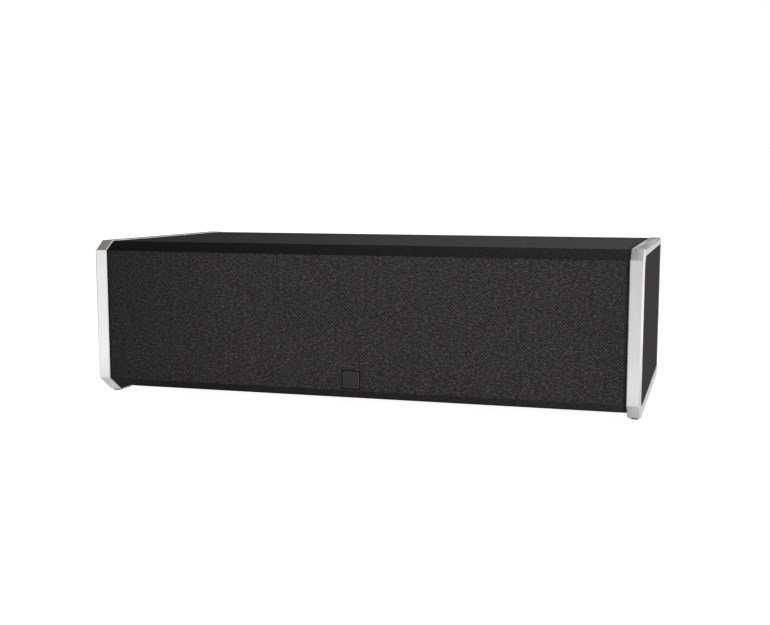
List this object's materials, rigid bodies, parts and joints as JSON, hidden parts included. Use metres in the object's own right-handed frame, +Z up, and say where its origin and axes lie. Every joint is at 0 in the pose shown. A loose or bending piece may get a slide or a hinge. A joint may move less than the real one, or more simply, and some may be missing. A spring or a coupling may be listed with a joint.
{
  "type": "center channel speaker",
  "caption": "Long low center channel speaker: black cloth sleeve over a closed cabinet with drivers, satin aluminium end frames as feet and a recessed terminal cup.",
  "frame": {"origin": "on the floor under the middle of the speaker, at the underside of its foot pads", "axes": "+X along the speaker's length, -Y out of the front, +Z up"},
  "size_m": [0.525, 0.261, 0.151],
  "materials": {
    "cloth": "fine woven grille cloth",
    "end_metal": "satin",
    "side_dark": "satin",
    "pad_rubber": "matt",
    "badge_dark": "satin",
    "moulding": "fine grain",
    "fibreboard": "raw",
    "wadding": "fluffy",
    "cast_basket": "black powder coat",
    "cone": "matt",
    "rubber": "satin",
    "spider_cloth": "resin coated",
    "coil_metal": "wound",
    "steel": "zinc plated",
    "ferrite": "matt",
    "dome_metal": "satin",
    "circuit_board": "lacquered",
    "copper": "lacquered wire",
    "capacitor": "film",
    "cement": "matt",
    "gold": "plated",
    "red_plastic": "gloss",
    "black_plastic": "gloss",
    "screw_steel": "black"
  },
  "bodies": {
    "cabinet": {"fabric_sleeve": "cloth", "left_end_frame": "end_metal", "right_end_frame": "end_metal", "left_side_panel": "side_dark", "right_side_panel": "side_dark", "foot_pads": "pad_rubber", "badge": "badge_dark", "front_grille_frame": "moulding", "radiator_guard": "moulding", "front_baffle": "fibreboard", "rear_panel": "fibreboard", "top_panel": "fibreboard", "bottom_panel": "fibreboard", "left_end_board": "fibreboard", "right_end_board": "fibreboard", "left_brace": "fibreboard", "right_brace": "fibreboard", "damping_pads": "wadding", "left_mid_basket": "cast_basket", "left_mid_surround": "rubber", "left_mid_spider": "spider_cloth", "left_mid_top_plate": "steel", "left_mid_magnet": "ferrite", "left_mid_yoke": "steel", "left_mid_phase_plug": "dome_metal", "right_mid_basket": "cast_basket", "right_mid_surround": "rubber", "right_mid_spider": "spider_cloth", "right_mid_top_plate": "steel", "right_mid_magnet": "ferrite", "right_mid_yoke": "steel", "right_mid_phase_plug": "dome_metal", "tweeter_faceplate": "moulding", "tweeter_surround": "rubber", "tweeter_top_plate": "steel", "tweeter_magnet": "ferrite", "tweeter_yoke": "steel", "radiator_frame": "cast_basket", "radiator_surround": "rubber", "crossover_board": "circuit_board", "board_standoffs": "gold", "crossover_coils": "copper", "crossover_capacitors": "capacitor", "crossover_resistors": "cement", "terminal_cup": "moulding", "red_post": "gold", "black_post": "gold", "post_nuts": "gold", "wood_screws": "screw_steel", "end_frame_screws": "screw_steel"},
    "left_mid_diaphragm": {"left_mid_cone": "cone", "left_mid_voice_coil": "coil_metal"},
    "right_mid_diaphragm": {"right_mid_cone": "cone", "right_mid_voice_coil": "coil_metal"},
    "tweeter_diaphragm": {"tweeter_dome": "dome_metal", "tweeter_voice_coil": "coil_metal"},
    "radiator_diaphragm": {"radiator_cone": "cone"},
    "red_terminal_knob": {"red_knob": "red_plastic"},
    "black_terminal_knob": {"black_knob": "black_plastic"}
  },
  "joints": [
    {"name": "left_mid_stroke", "type": "slide", "parent": "cabinet", "child": "left_mid_diaphragm", "axis": [0, -1, 0], "range_m": [-0.004, 0.004], "stiffness_N_per_m": 600, "deforming": ["left_mid_surround", "left_mid_spider"]},
    {"name": "right_mid_stroke", "type": "slide", "parent": "cabinet", "child": "right_mid_diaphragm", "axis": [0, -1, 0], "range_m": [-0.004, 0.004], "stiffness_N_per_m": 600, "deforming": ["right_mid_surround", "right_mid_spider"]},
    {"name": "tweeter_stroke", "type": "slide", "parent": "cabinet", "child": "tweeter_diaphragm", "axis": [0, -1, 0], "range_m": [-0.0003, 0.0003], "stiffness_N_per_m": 100, "deforming": ["tweeter_surround"]},
    {"name": "radiator_stroke", "type": "slide", "parent": "cabinet", "child": "radiator_diaphragm", "axis": [0, 0, 1], "range_m": [-0.008, 0.008], "stiffness_N_per_m": 1500, "deforming": ["radiator_surround"]},
    {"name": "red_knob_turn", "type": "hinge", "parent": "cabinet", "child": "red_terminal_knob", "pos_m": [-0.0095, 0.125, 0.0789], "axis": [0, 1, 0], "range_deg": [0, 1080]},
    {"name": "black_knob_turn", "type": "hinge", "parent": "cabinet", "child": "black_terminal_knob", "pos_m": [0.0095, 0.125, 0.0789], "axis": [0, 1, 0], "range_deg": [0, 1080]}
  ]
}
